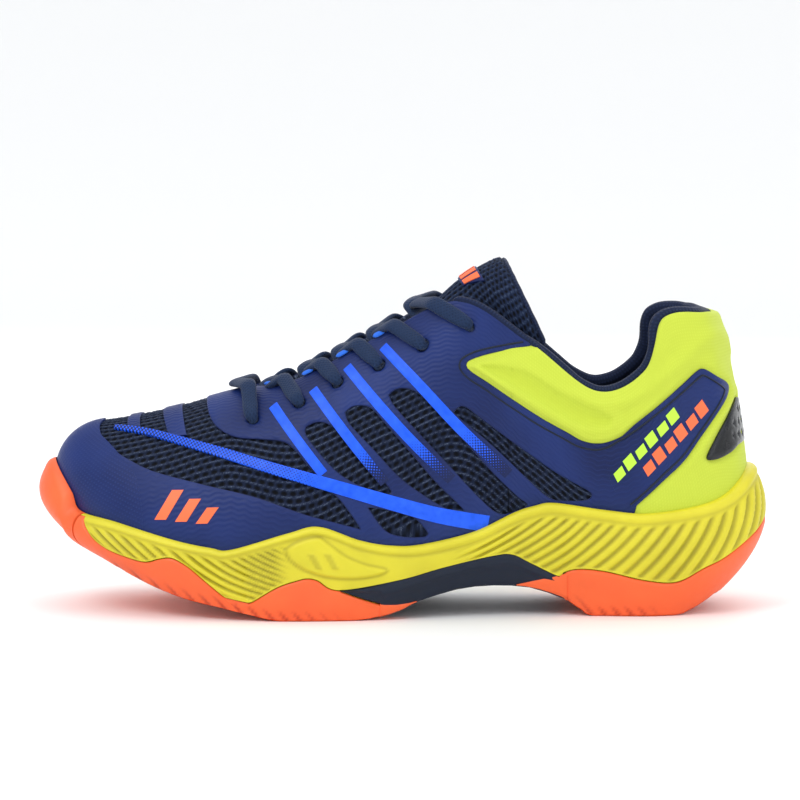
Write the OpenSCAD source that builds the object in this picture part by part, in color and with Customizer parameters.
// Low-cut court shoe for the left foot. Toe at -X, outer (lateral) side at -Y, standing on Z = 0.
// The upper is one closed surface: ribs run from the feather line round the sole up to the top line.
// Every layer of the upper is a part of that surface, moved in or out along its normal.

/* [Upper] */
// Thickness of the knitted mesh layer
mesh_t = 1.2; // [0.9:0.1:1.3]
// Thickness of the fused overlays
overlay_t = 0.7; // [0.5:0.1:0.8]
// Thickness of the printed stripes
stripe_t = 0.3; // [0.2:0.1:0.4]
// Thickness of the lining
lining_t = 0.7; // [0.5:0.1:0.8]
// Thickness of the foam inside the collar
collar_foam_t = 3.6; // [2.5:0.1:4]
// Radius of the padded roll along the collar edge
collar_roll_r = 2.9; // [2.2:0.1:3]
// Diameter of the lace holes
eyelet_d = 5; // [4.4:0.2:5.6]

/* [Sole] */
// Greatest thickness of the rubber outsole
outsole_t = 5; // [4:0.5:6]
// Thickness of the midsole rim at its top edge
rim_t = 2.8; // [2:0.2:3.4]
// Thickness of the board that closes the upper
board_t = 2; // [1.5:0.1:2]
// Thickness of the loose sockliner
sock_t = 4.5; // [3:0.5:5]

/* [Tongue] */
// Thickness of the foam in the tongue
tongue_foam_t = 4.2; // [3:0.2:4.4]

/* [Lace] */
// Diameter of a round lace of the same section as the flat one
lace_d = 3.6; // [3:0.1:3.8]
// Length of each aglet
aglet_len = 16; // [12:1:20]

/* [Hidden] */
layer_gap = 0.35;

// Fourteen stations run from the toe tip (0) to the heel (13), once along each side.
heel = 13;
turns = 26;
// Feather line, where the upper meets the sole: x and y along each side, and its height
feather_lateral = [[-132, 6], [-127, -9], [-115, -24.5], [-95, -37], [-68, -44], [-38, -46], [-6, -42],
    [22, -36], [50, -33], [76, -32.5], [100, -32], [122, -27], [135, -15.5], [139, 0]];
feather_medial = [[-132, 6], [-128.5, 19.5], [-118.5, 32], [-99, 41.5], [-72, 46], [-40, 43], [-8, 35],
    [22, 29], [50, 28], [76, 29.5], [100, 30], [122, 25.5], [135, 14.5], [139, 0]];
feather_z = [32, 31, 26.5, 21, 17.5, 16.5, 17.5, 20, 22.5, 24.5, 26, 27, 27.5, 27.5];
// Top line: x, z, y of its middle and half the opening there
top_line = [[-116, 75, 5, 0], [-113, 75.3, 5, 0], [-104, 77, 5, 0], [-88, 80.7, 4, 0],
    [-66, 87, 3, 0], [-42, 92, 2, 14], [-10, 109, 1, 16], [22, 124, 0, 24], [50, 108, 0, 30],
    [76, 89, 0, 32.5], [95, 96.5, 0, 30.5], [103, 117, 0, 27], [119, 119, 0, 19.5], [126.5, 118, 0, 0]];
// How full each rib is: outward and up above the feather line, outward and down below the top line
fullness = [[16, 22, 20, 0], [12, 22, 20, 0], [8, 22, 19, 0], [5, 24, 21, 0], [4, 28, 24, 0.5],
    [4, 28, 17, 6], [4, 36, 14, 14], [3, 42, 11, 26], [2, 35, 6, 32], [3, 25, 4, 22], [3, 25, 4, 22],
    [3, 30, 5, 30], [2, 30, 6, 28], [1.5, 30, 6.5, 24]];

// Sole: how far its bottom edge lies outside the feather line, and how far the side wall bulges
bottom_out = [-4, -4, -3.5, -2.5, -0.5, 0, 0, -1, -1.5, -1, 0, -4, -10, -15];
bulge_low = [19, 17, 11, 6, 3.5, 3, 2.5, 2, 3, 4, 5, 10, 18, 23];
bulge_high = [9.7, 8.5, 5, 3, 2, 2, 2, 2, 2.5, 3, 4, 6, 9, 10.5];
// Height of the sole's bottom and of its top edge along x
bottom_profile = [[-128, 26.5], [-118, 21], [-100, 13], [-85, 8], [-70, 4.8], [-60, 2.6], [-46, 0],
    [-20, 0], [-8, 1.6], [0, 4], [6, 6.8], [20, 10.8], [32, 12.4], [48, 12], [62, 8], [70, 3],
    [77, 0], [106, 0], [114, 2], [124, 7]];
top_profile = [[-141, 63], [-136, 55], [-130, 46], [-127, 40], [-112, 37], [-88, 31], [-74, 28.5],
    [-66, 28], [-44, 34.5], [-32, 37], [-16, 31.6], [-4, 29.4], [8, 29.6], [28, 34], [44, 41.4],
    [52, 44], [60, 45.2], [80, 42.4], [96, 41], [116, 43.6], [128, 48], [138, 57.5]];
// The rubber toe bumper covers this much of the loop on each side of the tip
bumper_reach = 1.5;
fore_end = 5.95;
heel_start = 8.55;
// Width of the gap between neighbouring sole pieces, in stations
seam = 0.02;

// Lace holes and the loops between them, as x and z of their places on the side of the shoe
eyelets = [[-58.6, 77], [-40.2, 83.6], [-25.2, 91.6], [-8.8, 98.4], [8.4, 106.4], [26.2, 114.4]];
loop_x = [-51.6, -36.5, -22.8, -8.7, 7];
// Ridge of the tongue's face, from the vamp to its free end, and its half width and wrap there
tongue_ridge = [[-72, 74], [-56, 82.3], [-38, 90.2], [-22, 98.2], [-6, 107.2], [8.4, 118],
    [21.7, 130], [31, 136], [38, 139.5]];
tongue_half = [17, 21, 24, 25, 24, 21, 18.5, 22, 23];
tongue_depth = [12, 20, 25, 26, 27, 27, 28, 31, 31];
tongue_fold = 5.72;
tongue_wrap = [60, 62, 62, 60, 57, 54, 60, 74, 80];

function wrapped(a) = ((a % turns) + turns) % turns;
function side(a) = wrapped(a) <= heel ? -1 : 1;
function both(lateral, medial) = [each lateral, for (i = [heel - 1:-1:1]) medial[i]];
function spread(values) = both(values, values);
// Catmull-Rom value of a closed table at station a
function curve(table, a) = let(
        n = len(table), i = floor(a), f = a - i,
        p0 = table[(i - 1 + 2 * n) % n], p1 = table[(i + 2 * n) % n],
        p2 = table[(i + 1 + 2 * n) % n], p3 = table[(i + 2 + 2 * n) % n])
    0.5 * (2 * p1 + (p2 - p0) * f + (2 * p0 - 5 * p1 + 4 * p2 - p3) * f * f
        + (3 * p1 - p0 - 3 * p2 + p3) * f * f * f);
// The same on an open table
function open_curve(table, a) = let(
        n = len(table) - 1, i = min(n - 1, max(0, floor(a))), f = a - i,
        p0 = table[max(0, i - 1)], p1 = table[i], p2 = table[i + 1], p3 = table[min(n, i + 2)])
    0.5 * (2 * p1 + (p2 - p0) * f + (2 * p0 - 5 * p1 + 4 * p2 - p3) * f * f
        + (3 * p1 - p0 - 3 * p2 + p3) * f * f * f);
function steps(from, to, count) = [for (i = [0:count]) from + (to - from) * i / count];

feather_table = both(
    [for (i = [0:heel]) [feather_lateral[i].x, feather_lateral[i].y, feather_z[i]]],
    [for (i = [0:heel]) [feather_medial[i].x, feather_medial[i].y, feather_z[i]]]);
top_table = spread(top_line);
full_table = spread(fullness);
sole_table = spread([for (i = [0:heel]) [bottom_out[i], bulge_low[i], bulge_high[i]]]);

function feather(a) = curve(feather_table, a);
function outward(a) = let(d = feather(a + 0.02) - feather(a - 0.02), n = [d.y, -d.x, 0]) n / norm(n);
function half_opening(a) = max(0, curve(top_table, a)[3]);
function rib(a) = let(
        p0 = feather(a), t = curve(top_table, a), out = outward(a), f = curve(full_table, a),
        p3 = [t[0], t[2] + side(a) * max(0, t[3]), t[1]])
    [p0, p0 + out * f[0] + [0, 0, f[1]], p3 + out * f[2] - [0, 0, f[3]], p3];
function bezier(c, v) = let(w = 1 - v)
    c[0] * w * w * w + c[1] * 3 * v * w * w + c[2] * 3 * v * v * w + c[3] * v * v * v;
// Points of one rib between heights v0 and v1, moved by offset along the surface normal
function column(a, v0, v1, count, offset) = let(before = rib(a - 0.03), here = rib(a), after = rib(a + 0.03))
    [for (v = steps(v0, v1, count)) let(
        w = min(0.985, max(0.015, v)),
        n = cross(bezier(after, w) - bezier(before, w), bezier(here, w + 0.01) - bezier(here, w - 0.01)),
        m = v > 0.999 && half_opening(a) < 0.01 ? [n.x, 0, n.z] : n)
        bezier(here, v) + m / norm(m) * offset];
function on_upper(a, v, offset) = column(a, v, v, 1, offset)[0];
function normal_at(a, v) = on_upper(a, v, 1) - on_upper(a, v, 0);
// Height v at which a rib reaches z
function rise(c, z, low = 0, high = 1, left = 12) = left == 0 ? (low + high) / 2 : let(mid = (low + high) / 2)
    bezier(c, mid).z < z ? rise(c, z, mid, high, left - 1) : rise(c, z, low, mid, left - 1);
// Height v at which a rib meets the top edge of the sole
function rim(c, low = 0, high = 1, left = 12) = left == 0 ? (low + high) / 2 : let(
        mid = (low + high) / 2, p = bezier(c, mid))
    p.z < lookup(p.x, top_profile) ? rim(c, mid, high, left - 1) : rim(c, low, mid, left - 1);
// Place [a, v] of the side point at x, z, by Newton steps
function place(which, x, z, guess = undef, left = 7) = let(
        s = guess == undef ? [lookup(x, [for (i = [0:heel]) [feather_lateral[i].x, i]]), 0.6] : guess,
        h = 0.01, p = flat_at(which, s), pa = flat_at(which, s + [h, 0]), pv = flat_at(which, s + [0, h]),
        ax = (pa.x - p.x) / h, az = (pa.y - p.y) / h, vx = (pv.x - p.x) / h, vz = (pv.y - p.y) / h,
        det = ax * vz - vx * az, dx = x - p.x, dz = z - p.y,
        next = s + [max(-1, min(1, (dx * vz - vx * dz) / det)), max(-0.2, min(0.2, (ax * dz - az * dx) / det))])
    left == 0 ? [which < 0 ? s.x : turns - s.x, s.y] : place(which, x, z, next, left - 1);
function flat_at(which, s) = let(p = bezier(rib(which < 0 ? s.x : turns - s.x), s.y)) [p.x, p.z];

// Closed solid between two grids of points, given column by column
module between(outer, inner, columns, rows, joined = [], wrap = false) {
    size = rows + 1;
    total = columns * size;
    last = wrap ? columns - 1 : columns - 2;
    function at(i, j) = let(k = i % columns)
        (j == rows && len(joined) > 0 && joined[k] ? min(k, columns - 1 - k) : k) * size + j;
    function both_joined(i) = len(joined) > 0 && joined[i] && joined[i + 1];
    polyhedron(
        points = concat(outer, inner),
        faces = [
            for (i = [0:last], j = [0:rows - 1]) let(p = at(i, j), q = at(i + 1, j),
                r = at(i + 1, j + 1), s = at(i, j + 1)) each
                [[p, s, r], [p, r, q], [p + total, q + total, r + total], [p + total, r + total, s + total]],
            for (i = [0:last]) let(p = at(i, 0), q = at(i + 1, 0)) each
                [[p, q, q + total], [p, q + total, p + total]],
            for (i = [0:last]) if (!both_joined(i)) let(s = at(i, rows), r = at(i + 1, rows)) each
                [[r, s, s + total], [r, s + total, r + total]],
            if (!wrap) for (j = [0:rows - 1]) let(p = at(0, j), s = at(0, j + 1),
                q = at(columns - 1, j), r = at(columns - 1, j + 1)) each
                [[s, p, p + total], [s, p + total, s + total], [q, r, r + total], [q, r + total, q + total]]
        ]);
}
// Part of the upper between stations, heights and offsets
module layer(stations, low, high, rows, outer, inner) {
    between(
        [for (a = stations) each column(a, low(a), high(a), rows, outer)],
        [for (a = stations) each column(a, low(a), high(a), rows, inner)],
        len(stations), rows,
        [for (a = stations) high(a) > 0.999 && half_opening(a) < 0.01]);
}
// Strip of film on the upper, through a grid of places [a, v]
module film(grid, outer, inner) {
    between(
        [for (line = grid) each [for (p = line) on_upper(p.x, p.y, outer)]],
        [for (line = grid) each [for (p = line) on_upper(p.x, p.y, inner)]],
        len(grid), len(grid[0]) - 1);
}
// Grid of places between two side-view lines of x and z, ready for film
function grid_between(which, low, high, rows) = let(n = len(low) - 1)
    [for (k = [0:n]) let(i = which < 0 ? k : n - k)
        [for (f = steps(0, 1, rows)) let(p = low[i] + (high[i] - low[i]) * f) place(which, p.x, p.y)]];
// The two edges of a ribbon along a side-view line, w wide at its ends
function ribbon_edge(points, w0, w1, sign) = let(
        m = len(points) - 1, n = 4 * m, line = [for (i = [0:n]) open_curve(points, i / 4)])
    [for (i = [0:n]) let(d = line[min(n, i + 1)] - line[max(0, i - 1)], t = d / norm(d),
        w = w0 + (w1 - w0) * i / n) line[i] + [-t.y, t.x] * sign * w / 2];
// Solid of stacked rings that run from one side round an end of the shoe to the other side
module stacked(rings, wrap = false) {
    n = len(rings[0]);
    top = (len(rings) - 1) * n;
    half = floor(n / 2);
    function over(i) = wrap ? (n - i) % n : n - 1 - i;
    function cap(i) = [i, i + 1, over(i + 1), over(i)];
    polyhedron(
        points = [for (ring = rings) each ring],
        faces = [
            for (k = [0:len(rings) - 2], i = [0:wrap ? n - 1 : n - 2]) let(
                p = k * n + i, q = k * n + (i + 1) % n, r = q + n, s = p + n) each [[p, s, r], [p, r, q]],
            for (i = [0:half - 1]) let(c = cap(i)) each [
                if (c[1] != c[2]) [c[0], c[1], c[2]], if (c[0] != c[3]) [c[0], c[2], c[3]],
                if (c[1] != c[2]) [c[2] + top, c[1] + top, c[0] + top],
                if (c[0] != c[3]) [c[3] + top, c[2] + top, c[0] + top]],
            if (!wrap) for (k = [0:len(rings) - 2]) let(p = k * n, q = k * n + n - 1) each
                [[p + n, p, q], [p + n, q, q + n]]
        ]);
}
// Solid through equal closed sections, capped at both ends
module swept(sections) {
    n = len(sections[0]);
    last = len(sections) - 1;
    polyhedron(
        points = [for (s = sections) each s],
        faces = [
            for (i = [0:last - 1], j = [0:n - 1]) let(
                p = i * n + j, q = i * n + (j + 1) % n, r = q + n, s = p + n) each [[p, s, r], [p, r, q]],
            for (j = [1:n - 2]) each [[0, j, j + 1], [last * n, last * n + j + 1, last * n + j]]
        ]);
}

// Side wall of the sole: bottom edge, two bulge points and top edge at station a
function wall(a) = let(
        f = feather(a), out = outward(a), k = curve(sole_table, a), c = rib(a), edge = f + out * k[0],
        low = [edge.x, edge.y, lookup(edge.x, bottom_profile)],
        high = bezier(c, rim(c)) + out * (abs(a) < bumper_reach ? rim_t / 2 : rim_t),
        third = (high.z - low.z) / 3)
    [low, [low.x, low.y, low.z + third] + out * k[1], [high.x, high.y, high.z - third] + out * k[2], high];
function wall_at(w, z) = let(p = bezier(w, (z - w[0].z) / (w[3].z - w[0].z))) [p.x, p.y, z];
// Height where the outsole ends and the midsole begins
function joint_z(a) = let(w = wall(a)) w[0].z + min(outsole_t, 0.45 * (feather(a).z - w[0].z));
// Stations of the sole's pieces along one side, from the toe tip to the heel
toe_half = [each steps(0, bumper_reach, 4), each steps(bumper_reach + seam, fore_end, 15)];
arch_half = steps(fore_end + seam, heel_start - seam, 10);
heel_half = steps(heel_start, heel, 15);
function reversed(list) = [for (i = [len(list) - 1:-1:0]) list[i]];
function without_last(list) = [for (i = [0:len(list) - 2]) list[i]];
function sole_band(stations) = [for (f = [0, 0.5, 1])
    [for (a = stations) let(w = wall(a)) wall_at(w, w[0].z + (joint_z(a) - layer_gap - w[0].z) * f)]];

module outsole_forefoot() {
    color("coral") stacked(sole_band([each [for (a = reversed(toe_half)) if (a > 0) -a], each toe_half]));
}
module outsole_heel() {
    color("coral") stacked(sole_band([each heel_half, each [for (a = reversed(without_last(heel_half))) turns - a]]));
}
module toe_bumper() {
    stations = steps(-bumper_reach, bumper_reach, 12);
    rows = 8;
    heights = function(a) let(z = joint_z(a), f = feather(a).z)
        [z, (z + f) / 2, each steps(f, wall(a)[3].z, rows - 2)];
    foot = function(a) wall_at(wall(a), joint_z(a)) - outward(a) * 1.5;
    inner = function(a, z) let(f = feather(a), c = rib(a), low = foot(a))
        z < f.z ? let(k = (z - low.z) / (f.z - low.z)) low + (f + outward(a) * 1.4 - low) * k
            : bezier(c, rise(c, z)) + outward(a) * max(layer_gap + 0.15, 1.4 - 0.2 * (z - f.z));
    color("coral") between(
        [for (a = stations) each [for (z = heights(a)) wall_at(wall(a), z)]],
        [for (a = stations) each [for (z = heights(a)) inner(a, z)]], len(stations), rows);
}
module shank_plate() {
    color("darkslategray") swept([for (a = arch_half) let(
            l = wall(a), m = wall(turns - a), zl = joint_z(a) - layer_gap, zm = joint_z(turns - a) - layer_gap)
        [l[0], m[0], wall_at(m, zm), wall_at(l, zl)]]);
}
module midsole() {
    half = [each toe_half, each arch_half, each heel_half];
    stations = [each half, for (i = [len(half) - 2:-1:1]) turns - half[i]];
    inside = function(a) min(a, turns - a) < bumper_reach + seam / 2;
    toe_lift = 0.8;
    outer = function(a, f) let(w = wall(a), z = joint_z(a), low = wall_at(w, z) - outward(a) * 2 + [0, 0, toe_lift])
        inside(a) ? low + (feather(a) + outward(a) - [0, 0, layer_gap] - low) * f
            : wall_at(w, z + (w[3].z - z) * f);
    inner = function(a, f) inside(a) ? feather(a) + outward(a) * (0.4 + 0.5 * f) - [0, 0, layer_gap]
        : on_upper(a, rim(rib(a)) * f, 0.5) - [0, 0, f == 0 ? layer_gap : 0];
    color("gold") stacked(
        [for (f = [0, 0.3, 0.6, 0.85, 1]) [for (a = stations) outer(a, f)],
            for (f = [1, 0.5, 0]) [for (a = stations) inner(a, f)]], wrap = true);
}
// Flat plate inside the upper, set in from the feather line
function plate_ring(stations, inset, height) =
    [for (a = stations) feather(a) - outward(a) * inset(a) + [0, 0, height]];
module strobel_board() {
    stations = steps(0, turns - 0.5, 51);
    inset = function(a) 5.6;
    color("lightgray") stacked([plate_ring(stations, inset, 0.1),
        plate_ring(stations, inset, 0.1 + board_t)], wrap = true);
}
module sockliner() {
    stations = steps(0, turns - 0.5, 51);
    inset = function(a) lookup(min(a, turns - a), [[0, 8], [6, 7], [9, 10], [heel, 11]]);
    base = 0.1 + board_t + layer_gap;
    color("slategray") stacked([plate_ring(stations, inset, base),
        plate_ring(stations, inset, base + sock_t)], wrap = true);
}

// Offsets of the layers from the outer surface
mesh_out = -overlay_t - layer_gap;
mesh_in = mesh_out - mesh_t;
stiff_out = mesh_in - layer_gap;
stiff_in = stiff_out - 1.2;
foam_in = stiff_out - collar_foam_t;
vamp_split = 3.94;
quarter_start = 4;
quarter_end = 7.7;
roll_start = 7.2;
collar_start = 7.9;
back_seam = 0.05;
ground = function(a) 0;
full = function(a) 1;

module toe_puff() {
    color("whitesmoke") layer(steps(-2.6, 2.6, 14), function(a) 0.04, function(a) 0.74, 5, stiff_out, stiff_in);
}
module heel_counter() {
    color("whitesmoke") layer(steps(9, turns - 9, 20), function(a) 0.04, function(a) 0.42, 4,
        stiff_out, stiff_in);
}
module vamp_mesh() {
    color("midnightblue") layer(steps(-vamp_split, vamp_split, 28), ground, full, 10, mesh_out, mesh_in);
}
module vamp_lining() {
    out = stiff_in - layer_gap;
    color("navy") layer(steps(-vamp_split, vamp_split, 20), function(a) 0.06, full, 7, out, out - lining_t);
}
module punched(which) {
    difference() {
        children();
        for (e = eyelets) let(s = place(which, e.x, e.y), p = on_upper(s.x, s.y, 0), n = normal_at(s.x, s.y))
            translate(p) rotate([0, acos(n.z), atan2(n.y, n.x)]) cylinder(h = 20, d = eyelet_d, center = true, $fn = 24);
    }
}
// Stations of one side, from the toe end to the heel end on the outer side and back on the inner one
function side_stations(which, from, to, count) = which < 0 ? steps(from, to, count)
    : steps(turns - to, turns - from, count);
module quarter_mesh(which) {
    color("midnightblue") punched(which)
        layer(side_stations(which, quarter_start, quarter_end, 11), ground, function(a) 0.998, 9, mesh_out, mesh_in);
}
module quarter_mesh_lateral() { quarter_mesh(-1); }
module quarter_mesh_medial() { quarter_mesh(1); }
module quarter_lining(which) {
    color("navy") punched(which)
        layer(side_stations(which, quarter_start, collar_start - 0.04, 9), function(a) 0.06,
            function(a) lookup(min(a, turns - a), [[7, 0.998], [7.2, 0.93]]), 6, stiff_out, stiff_out - lining_t);
}
module quarter_lining_lateral() { quarter_lining(-1); }
module quarter_lining_medial() { quarter_lining(1); }
module heel_quarter(which) {
    color("greenyellow")
        layer(side_stations(which, quarter_end + 0.03, heel - back_seam, 18), ground, full, 9, mesh_out, mesh_in);
}
module heel_quarter_lateral() { heel_quarter(-1); }
module heel_quarter_medial() { heel_quarter(1); }
module collar_foam() {
    color("midnightblue") layer(steps(collar_start, turns - collar_start, 28), function(a) 0.47,
        function(a) 0.93, 4, stiff_out, foam_in);
}
module collar_lining() {
    out = foam_in - layer_gap;
    color("navy") layer(steps(collar_start, turns - collar_start, 28), function(a) 0.14,
        function(a) 0.94, 5, out, out - lining_t);
}
module collar_roll() {
    stations = steps(roll_start, turns - roll_start, 46);
    radius = function(a) lookup(min(a, turns - a), [[roll_start, 1.3], [8.4, collar_roll_r]]);
    color("midnightblue") swept([for (a = stations) let(
            r = radius(a), depth = stiff_out - r, c = on_upper(a, 1, depth), n = normal_at(a, 0.985),
            d = c - on_upper(a, 0.96, depth), up = d / norm(d))
        [for (t = steps(0, 315, 7)) c + r * (n * cos(t) - up * sin(t))]]);
}
module toe_cap() {
    color("navy") layer(steps(-2.3, 2.3, 16), ground, function(a) 0.78 - 0.07 * abs(a), 6, 0, -overlay_t);
}
// Overlay along the sole and the bars that climb from it to the eyestay
fox_top = 0.3;
eyestay_low = 0.69;
module overlay(which) {
    fox = side_stations(which, 2.36, quarter_end, 16);
    bar_w = 0.17;
    color("navy") {
        layer(fox, ground, function(a) fox_top, 3, 0, -overlay_t);
        for (k = [0:3]) let(foot = 5.1 + 0.78 * k, head = 4.5 + 0.62 * k)
            film([for (i = [0:1]) let(w = which < 0 ? i : 1 - i) [for (f = steps(0, 1, 6))
                let(s = foot + (head - foot) * f + bar_w * (2 * w - 1),
                    v = fox_top + 0.01 + (eyestay_low - 0.02 - fox_top) * f) [which < 0 ? s : turns - s, v]]],
                0, -overlay_t);
    }
}
module overlay_lateral() { overlay(-1); }
module overlay_medial() { overlay(1); }
module eyestay(which) {
    color("navy") punched(which)
        layer(side_stations(which, 3.45, 7.25, 18), function(a) eyestay_low, function(a) 0.996, 3, 0, -overlay_t);
}
module eyestay_lateral() { eyestay(-1); }
module eyestay_medial() { eyestay(1); }
// Printed stripes: four from the lace loops down and back, one along the forefoot
stripe_lines = [[[-49, 79], [-40, 68], [-31, 57.5]], [[-35, 84], [-22, 70], [-9, 56]],
    [[-20, 93], [-3, 76], [16, 58.5]], [[-5, 102], [18, 80], [40, 58]]];
band_line = [[-112, 72], [-86, 68.4], [-58, 61.4], [-20, 51.4], [14, 41.5]];
module stripes(which) {
    out = stripe_t + 0.2;
    color("dodgerblue") {
        for (line = stripe_lines)
            film(grid_between(which, ribbon_edge(line, 3.8, 3.8, -1), ribbon_edge(line, 3.8, 3.8, 1), 1), out, 0.2);
        film(grid_between(which, ribbon_edge(band_line, 1.2, 6, -1), ribbon_edge(band_line, 1.2, 6, 1), 1), out, 0.2);
    }
}
module stripes_lateral() { stripes(-1); }
module stripes_medial() { stripes(1); }
strap_low = [[90, 47], [103, 54.5], [110.5, 61], [117.5, 70], [124.5, 80]];
strap_high = [[68, 70], [83, 71], [94, 78], [106, 87.5], [117, 96.5]];
module heel_strap(which) {
    color("navy") film(grid_between(which, strap_low, strap_high, 4), overlay_t - 0.5, -0.5);
}
module heel_strap_lateral() { heel_strap(-1); }
module heel_strap_medial() { heel_strap(1); }
module heel_clip() {
    reach = 1.15;
    color("darkslategray") layer(steps(heel - reach, heel + reach, 10),
        function(a) 0.43 - 0.02 * abs(a - heel), function(a) 0.64 - 0.16 * abs(a - heel), 3, 0.9, -0.5);
}

// Tongue: u counts the ridge points, w runs across from -1 to 1, offset is along its own normal
function tongue_point(u, w, offset) = let(
        p = open_curve(tongue_ridge, u), d = open_curve(tongue_ridge, u + 0.05) - open_curve(tongue_ridge, u - 0.05),
        t = d / norm(d), up = [-t.y, 0, t.x], angle = w * open_curve(tongue_wrap, u),
        rw = open_curve(tongue_half, u), rd = open_curve(tongue_depth, u),
        n0 = [0, rd * sin(angle), 0] + up * rw * cos(angle), n = n0 / norm(n0))
    [p.x, ridge_y(p.x), p.y] + [0, rw * sin(angle), 0] - up * rd * (1 - cos(angle)) + n * offset;
function ridge_y(x) = lookup(x, [[-66, 3], [-10, 1], [22, 0]]);
module tongue_layer(from, to, count, half, outer, inner) {
    across = steps(-half, half, 12);
    between(
        [for (u = steps(from, to, count)) each [for (w = across) tongue_point(u, w, outer)]],
        [for (u = steps(from, to, count)) each [for (w = across) tongue_point(u, w, inner)]],
        count + 1, 12);
}
face_t = 1;
tongue_foam_out = -face_t - layer_gap;
tongue_foam_in = tongue_foam_out - tongue_foam_t;
module tongue_face() { color("midnightblue") tongue_layer(0, tongue_fold, 14, 1, 0, -face_t); }
module tongue_foam() {
    color("dimgray") tongue_layer(0.6, tongue_fold, 12, 0.94, tongue_foam_out, tongue_foam_in);
}
module tongue_lining() {
    color("navy") tongue_layer(0.6, tongue_fold, 12, 1, tongue_foam_in - layer_gap, tongue_foam_in - layer_gap - lining_t);
}
module tongue_top_face() { color("midnightblue") tongue_layer(tongue_fold + 0.05, 8, 7, 1, 0, -face_t); }
module tongue_top_foam() {
    color("dimgray") tongue_layer(tongue_fold + 0.05, 7.9, 7, 0.94, tongue_foam_out, tongue_foam_in);
}
module tongue_top_lining() {
    color("navy") tongue_layer(tongue_fold + 0.05, 8, 7, 1, tongue_foam_in - layer_gap,
        tongue_foam_in - layer_gap - lining_t);
}
module tongue_label() {
    across = steps(-0.36, 0.36, 6);
    color("coral") between(
        [for (u = [6.15, 6.5, 6.85]) each [for (w = across) tongue_point(u, w, 0.9)]],
        [for (u = [6.15, 6.5, 6.85]) each [for (w = across) tongue_point(u, w, layer_gap)]], 3, 6);
}

// Lace: it lies over the throat from hole to hole, crossing itself at each level
lace_up = lace_d / 2 + 0.3;
under_edge = stiff_out - lining_t - 0.3 - lace_d / 2;
function hole(which, i, offset) = let(s = place(which, eyelets[i].x, eyelets[i].y)) on_upper(s.x, s.y, offset);
// Place on the throat edge at x
function throat(which, x, offset) = let(s = lookup(x, [for (i = [4:7]) [top_line[i][0], i]]))
    on_upper(which < 0 ? s : turns - s, 1, offset);
// Place on the tongue above its ridge point at x, across by w
function over_tongue(x, w, lift) =
    tongue_point(lookup(x, [for (i = [0:len(tongue_ridge) - 1]) [tongue_ridge[i].x, i]]), w, lift);
// One crossing: out from under the edge of side "which" at level i, over the middle, to the next hole
function crossing(which, i, lift) = [
    throat(which, loop_x[i] + 2, under_edge),
    over_tongue(loop_x[i], which * 0.36, lace_up),
    over_tongue(loop_x[i], which * 0.12, lace_up + lift),
    over_tongue(loop_x[i] + 1.5, -which * 0.12, lace_up + lift),
    over_tongue(loop_x[i] + 2, -which * 0.34, lace_up + lace_d + 1),
    throat(-which, loop_x[i] + 6, lace_up + 0.4),
    hole(-which, i + 1, lace_up),
    hole(-which, i + 1, -1.2),
    hole(-which, i + 1, under_edge)];
function tail(which) = [
    on_upper(which < 0 ? 7.3 : turns - 7.3, 0.8, -9.5),
    on_upper(which < 0 ? 7.8 : turns - 7.8, 0.7, -11),
    on_upper(which < 0 ? 8.4 : turns - 8.4, 0.62, -11),
    on_upper(which < 0 ? 9 : turns - 9, 0.55, -11),
    on_upper(which < 0 ? 9.5 : turns - 9.5, 0.5, -11)];
function half_route(start) = [
    hole(start, 0, -1.2), hole(start, 0, under_edge),
    for (i = [0:4]) each crossing(i % 2 == 0 ? start : -start, i, i % 2 == 0 && start < 0 || i % 2 == 1 && start > 0 ? lace_d + 0.2 : 0),
    each tail(-start)];
lace_route = [
    each reversed(half_route(-1)),
    hole(-1, 0, lace_up), throat(-1, -60, lace_up) - [0, 12, 0], on_upper(4, 1, lace_up + 0.4),
    throat(1, -60, lace_up) + [0, 12, 0], hole(1, 0, lace_up),
    each half_route(1)];
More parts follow.
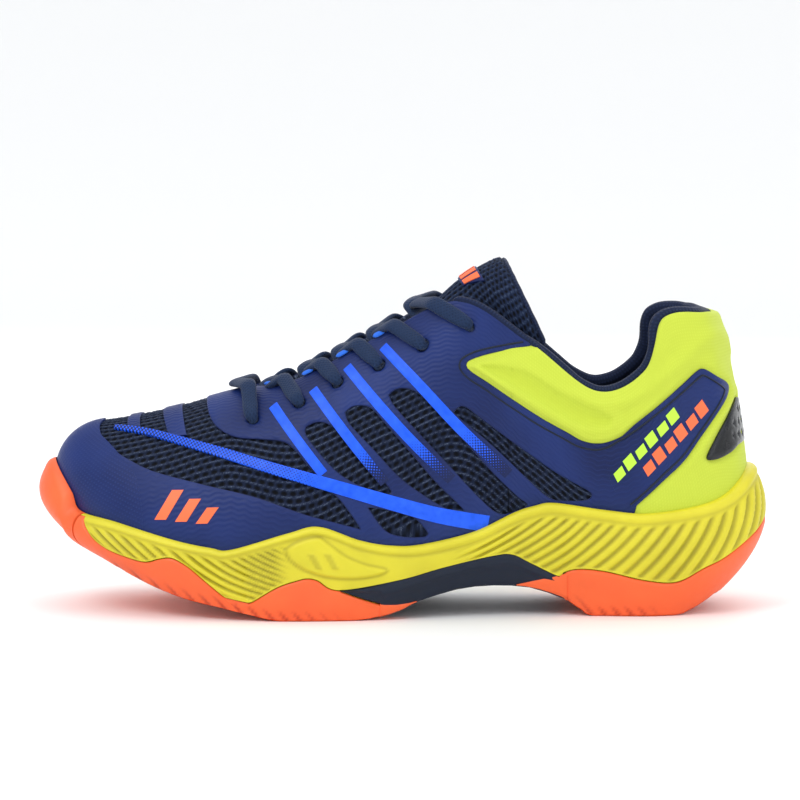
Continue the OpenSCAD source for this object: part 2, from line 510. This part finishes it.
// Sections of a round tube along points, with rings turned as little as possible
function tube_sections(line, d, sides) = let(
        n = len(line) - 1,
        along = [for (i = [0:n]) let(t = line[min(n, i + 1)] - line[max(0, i - 1)]) t / norm(t)],
        frames = [for (i = 0, x = level(along[0]); i <= n;
            i = i + 1, x = i > n ? x : square_to(x, along[i])) x])
    [for (i = [0:n]) let(x = frames[i], y = cross(along[i], x))
        [for (t = steps(0, 360 - 360 / sides, sides - 1)) line[i] + d / 2 * (x * cos(t) + y * sin(t))]];
function level(t) = let(x = cross(t, [0.3, 0.2, 1])) x / norm(x);
function square_to(x, t) = let(y = x - t * (x * t)) y / norm(y);
module shoelace() { color("midnightblue") swept(tube_sections(lace_route, lace_d, 8)); }
module aglet(which) {
    line = tail(which);
    tip = line[4];
    t = (tip - line[3]) / norm(tip - line[3]);
    translate(tip + t * 0.05) rotate([0, acos(t.z), atan2(t.y, t.x)]) cylinder(h = aglet_len, d = lace_d - 0.2, $fn = 24);
}
module aglets() { color("silver") { aglet(-1); aglet(1); } }
// Cord loops at the heads of the stripes, which the lace passes through
module lace_loops(which) {
    color("dodgerblue") for (i = [0:3]) {
        a = (throat(which, loop_x[i] + 2, under_edge) + over_tongue(loop_x[i], which * 0.36, lace_up)) / 2;
        b = over_tongue(loop_x[i], which * 0.3, lace_up);
        t = (b - a) / norm(b - a);
        translate(a) rotate([0, acos(t.z), atan2(t.y, t.x)])
            rotate_extrude($fn = 32) translate([lace_d / 2 + 1.1, 0]) circle(d = 1.2, $fn = 16);
    }
}
module lace_loops_lateral() { lace_loops(-1); }
module lace_loops_medial() { lace_loops(1); }

outsole_forefoot();
outsole_heel();
toe_bumper();
shank_plate();
midsole();
strobel_board();
sockliner();
toe_puff();
heel_counter();
vamp_mesh();
quarter_mesh_lateral();
quarter_mesh_medial();
heel_quarter_lateral();
heel_quarter_medial();
vamp_lining();
quarter_lining_lateral();
quarter_lining_medial();
collar_foam();
collar_lining();
collar_roll();
toe_cap();
overlay_lateral();
overlay_medial();
eyestay_lateral();
eyestay_medial();
stripes_lateral();
stripes_medial();
heel_strap_lateral();
heel_strap_medial();
heel_clip();
lace_loops_lateral();
lace_loops_medial();
tongue_face();
tongue_foam();
tongue_lining();
tongue_top_face();
tongue_top_foam();
tongue_top_lining();
tongue_label();
shoelace();
aglets();
